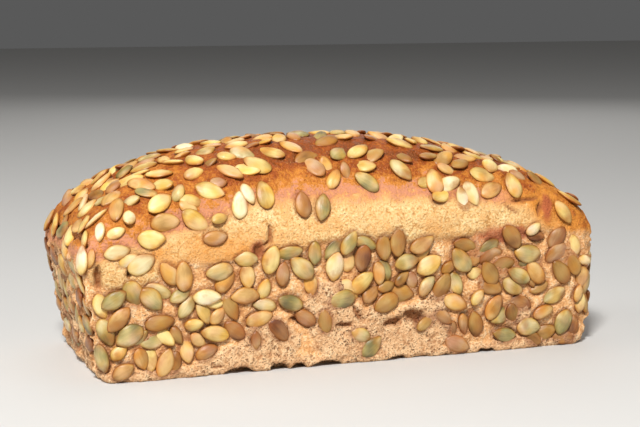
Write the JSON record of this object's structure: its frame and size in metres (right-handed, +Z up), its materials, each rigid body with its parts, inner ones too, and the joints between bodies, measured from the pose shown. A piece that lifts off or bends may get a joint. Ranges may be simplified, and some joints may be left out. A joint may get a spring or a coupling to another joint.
{
  "type": "seeded tin loaf of bread",
  "caption": "Long tin-baked einkorn loaf with straight sides, a domed browned crown and pumpkin seeds pressed all over its crust.",
  "frame": {"origin": "middle of the base, on the surface that the loaf stands on", "axes": "+X along the loaf, -Y out of the long side with the bare patches, +Z up"},
  "size_m": [0.2663, 0.1001, 0.1083],
  "materials": {
    "bread": "baked bread crust, browned over the crown and pale on the sides, with satin pumpkin seeds"
  },
  "bodies": {
    "root": {"loaf": "bread"}
  },
  "joints": []
}
